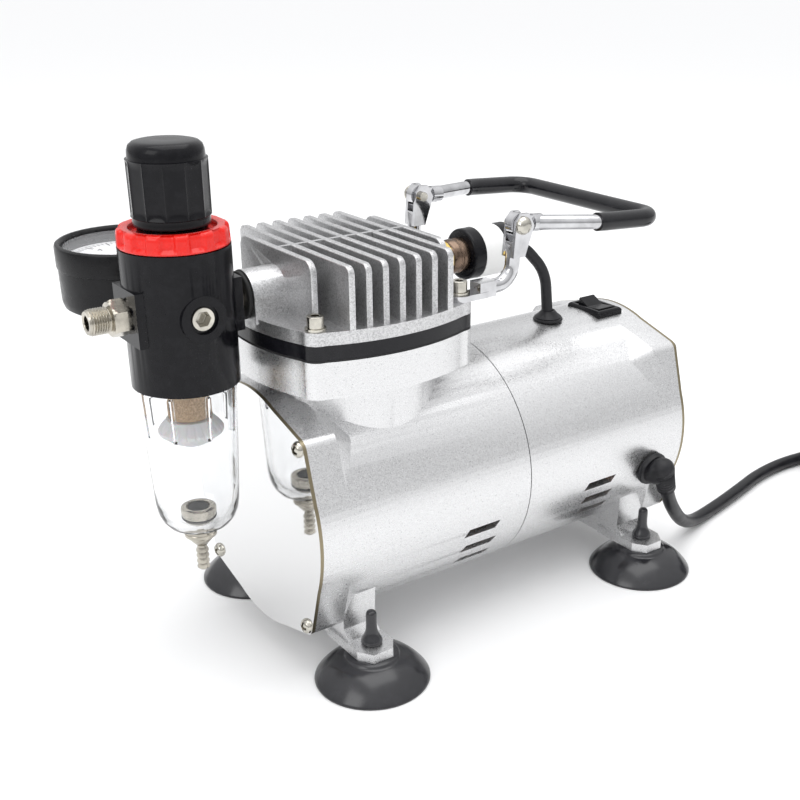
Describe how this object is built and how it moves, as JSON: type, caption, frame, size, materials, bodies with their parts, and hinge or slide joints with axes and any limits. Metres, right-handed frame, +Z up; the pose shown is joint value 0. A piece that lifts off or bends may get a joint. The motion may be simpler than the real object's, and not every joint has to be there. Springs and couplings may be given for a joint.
{
  "type": "airbrush compressor",
  "caption": "Portable oil-free piston air compressor for airbrushes: barrel motor housing, finned cylinder head, filter regulator with gauge, folding handle and suction-cup feet.",
  "frame": {"origin": "centre of the object's box without the mains cord, on the surface that it stands on", "axes": "+X along the barrel from the regulator to the rear plate, +Z up, +Y towards the pressure gauge"},
  "size_m": [0.468, 0.1765, 0.2104],
  "materials": {
    "housing_paint": "silver metallic paint over die-cast aluminium",
    "head_paint": "coarse silver paint over cast aluminium",
    "mirror_plate": "mirror polished",
    "nickel_screws": "warm nickel plate",
    "black_plate": "gloss black",
    "gasket": "matte black",
    "cylinder_steel": "honed",
    "piston_alloy": "machined",
    "ptfe": "filled PTFE",
    "cast_crank": "as cast",
    "laminations": "stacked sheets",
    "copper": "enamelled wire",
    "fan_plastic": "moulded",
    "chrome_rod": "chromed steel rod",
    "grip_vinyl": "smooth vinyl sleeve",
    "black_plastic": "gloss black",
    "label_white": "blank paper label",
    "brass": "machined",
    "nickel_fittings": "nickel plated brass",
    "lead_pvc": "black PVC",
    "red_ring": "bright red",
    "inner_steel": "zinc plated",
    "diaphragm_rubber": "moulded",
    "clear_bowl": "clear moulded polycarbonate",
    "filter_tan": "sintered filter",
    "baffle_white": "moulded",
    "gauge_black": "satin black",
    "dial_white": "printed dial",
    "gauge_glass": "clear lens",
    "needle_red": "lacquered",
    "foot_rubber": "semi-gloss black",
    "plug_black": "moulded plug"
  },
  "bodies": {
    "root": {"front_housing": "housing_paint", "rear_housing": "housing_paint", "cylinder_head": "head_paint", "front_plate": "mirror_plate", "rear_plate": "mirror_plate", "end_plate_screws": "nickel_screws", "head_screws": "nickel_screws", "head_washers": "nickel_screws", "handle_pivot_screws": "nickel_screws", "port_plug": "nickel_screws", "valve_plate": "black_plate", "head_gasket": "gasket", "cylinder_sleeve": "cylinder_steel", "motor_bearings": "cylinder_steel", "stator": "laminations", "stator_windings": "copper", "handle_brackets": "chrome_rod", "pressure_switch": "black_plastic", "regulator_body": "black_plastic", "rocker_frame": "black_plastic", "switch_label": "label_white", "switch_fitting": "brass", "outlet_fitting": "nickel_fittings", "inlet_nipple": "nickel_fittings", "gauge_stem": "nickel_fittings", "drain_nut": "nickel_fittings", "switch_lead": "lead_pvc", "power_cord": "lead_pvc", "cord_coil": "lead_pvc", "cord_gland": "lead_pvc", "lead_grommet": "lead_pvc", "lock_ring": "red_ring", "diaphragm": "diaphragm_rubber", "inlet_seal": "diaphragm_rubber", "filter_bowl": "clear_bowl", "filter_element": "filter_tan", "bowl_baffle": "baffle_white", "gauge_case": "gauge_black", "gauge_dial": "dial_white", "gauge_lens": "gauge_glass", "suction_cups": "foot_rubber", "mains_plug": "plug_black"},
    "handle": {"handle_rod": "chrome_rod", "handle_grip": "grip_vinyl"},
    "rocker": {"rocker_button": "black_plastic"},
    "spindle": {"adjusting_screw": "inner_steel"},
    "knob": {"regulator_knob": "black_plastic"},
    "seat": {"spring_seat": "brass", "regulator_spring": "inner_steel"},
    "needle": {"gauge_needle": "needle_red"},
    "drain": {"drain_valve": "nickel_fittings"},
    "motor_rotor": {"motor_shaft": "cylinder_steel", "rotor": "laminations", "crank": "cast_crank", "cooling_fan": "fan_plastic"},
    "rod": {"connecting_rod": "piston_alloy", "wrist_pin": "cylinder_steel"},
    "piston_body": {"piston": "piston_alloy", "piston_ring": "ptfe"}
  },
  "joints": [
    {"name": "handle_fold", "type": "hinge", "parent": "root", "child": "handle", "pos_m": [0.03545, 0, 0.1702], "axis": [0, -1, 0], "range_deg": [0, 100]},
    {"name": "rocker_press", "type": "hinge", "parent": "root", "child": "rocker", "pos_m": [0.11165, -0.0025, 0.1122], "axis": [-1, 0, 0], "range_deg": [0, 20]},
    {"name": "knob_turn", "type": "hinge", "parent": "root", "child": "spindle", "pos_m": [-0.09385, 0, 0.1814], "axis": [0, 0, 1], "range_deg": [-720, 720]},
    {"name": "knob_lift", "type": "slide", "parent": "spindle", "child": "knob", "axis": [0, 0, 1], "range_m": [0, 0.0025]},
    {"name": "screw_feed", "type": "slide", "parent": "root", "child": "seat", "axis": [0, 0, 1], "range_m": [-0.003, 0.003], "deforming": ["regulator_spring"]},
    {"name": "needle_swing", "type": "hinge", "parent": "root", "child": "needle", "pos_m": [-0.09385, 0.0474, 0.161], "axis": [0, 0, -1], "range_deg": [0, 270]},
    {"name": "drain_push", "type": "slide", "parent": "root", "child": "drain", "axis": [0, 0, 1], "range_m": [0, 0.0025], "stiffness_N_per_m": 300, "springref_m": -0.002},
    {"name": "motor_spin", "type": "hinge", "parent": "root", "child": "motor_rotor", "pos_m": [-0.02435, 0, 0.0635], "axis": [1, 0, 0], "continuous": true},
    {"name": "rod_swing", "type": "hinge", "parent": "motor_rotor", "child": "rod", "pos_m": [-0.02435, 0, 0.0585], "axis": [1, 0, 0], "continuous": true},
    {"name": "piston_stroke", "type": "slide", "parent": "root", "child": "piston_body", "axis": [0, 0, 1], "range_m": [0, 0.01]}
  ],
  "couplings": [
    {"joint": "rod_swing", "follows": "motor_spin", "ratio": -1},
    {"joint": "screw_feed", "follows": "knob_turn", "m_per_rad": -0.00023873}
  ]
}
